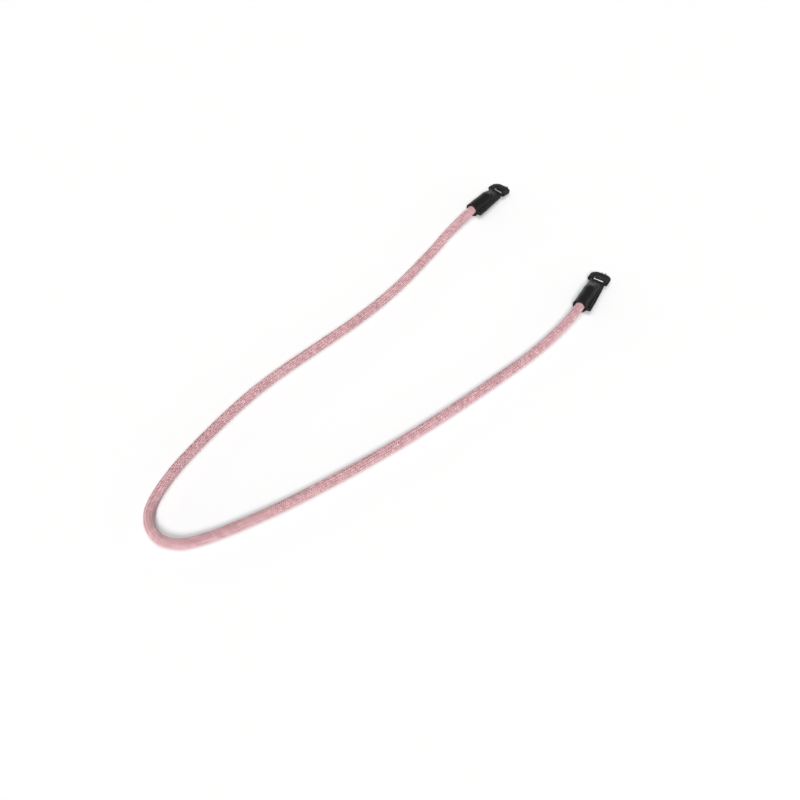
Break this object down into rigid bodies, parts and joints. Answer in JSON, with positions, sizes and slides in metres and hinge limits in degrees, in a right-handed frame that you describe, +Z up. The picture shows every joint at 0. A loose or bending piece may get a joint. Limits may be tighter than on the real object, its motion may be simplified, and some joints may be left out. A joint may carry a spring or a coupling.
{
  "type": "camera neck strap",
  "caption": "Round braided rope neck strap for a camera, with a leather sleeve, a leather ring guard and a steel triangle ring at each end, lying flat in an open loop.",
  "frame": {"origin": "on the surface that the strap lies on, under the middle of the box round its two end fittings", "axes": "+X from the left fitting to the right fitting, +Y away from the loop's bend, +Z up"},
  "size_m": [0.1914, 0.5329, 0.0144],
  "materials": {
    "rope_braid": "dusty pink polyester braid, two-over-two herringbone, soft sheen",
    "black_leather": "black smooth-grain leather, satin, black stitching along the flange",
    "ring_steel": "polished nickel-plated steel wire"
  },
  "bodies": {
    "root": {"rope": "rope_braid", "left_sleeve": "black_leather", "left_ring_guard": "black_leather", "left_ring": "ring_steel", "right_sleeve": "black_leather", "right_ring_guard": "black_leather", "right_ring": "ring_steel"}
  },
  "joints": []
}
